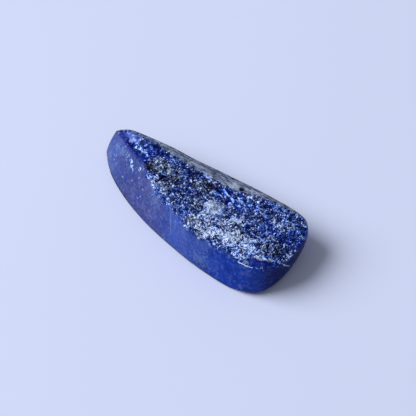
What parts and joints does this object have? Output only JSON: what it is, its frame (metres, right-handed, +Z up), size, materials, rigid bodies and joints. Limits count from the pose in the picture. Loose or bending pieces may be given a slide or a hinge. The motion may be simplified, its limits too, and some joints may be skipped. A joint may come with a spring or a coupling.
{
  "type": "rough azurite stone",
  "caption": "Small fang-shaped rough azurite: flat underside, smooth ground blue wall, rough crystalline top face with pale patches.",
  "frame": {"origin": "middle of the bounding box at the flat underside", "axes": "+X from the pointed tip to the broad end, -Y towards the long bowed side, +Z up"},
  "size_m": [0.0381, 0.0156, 0.0067],
  "materials": {
    "azurite": "satin"
  },
  "bodies": {
    "root": {"stone": "azurite"}
  },
  "joints": []
}
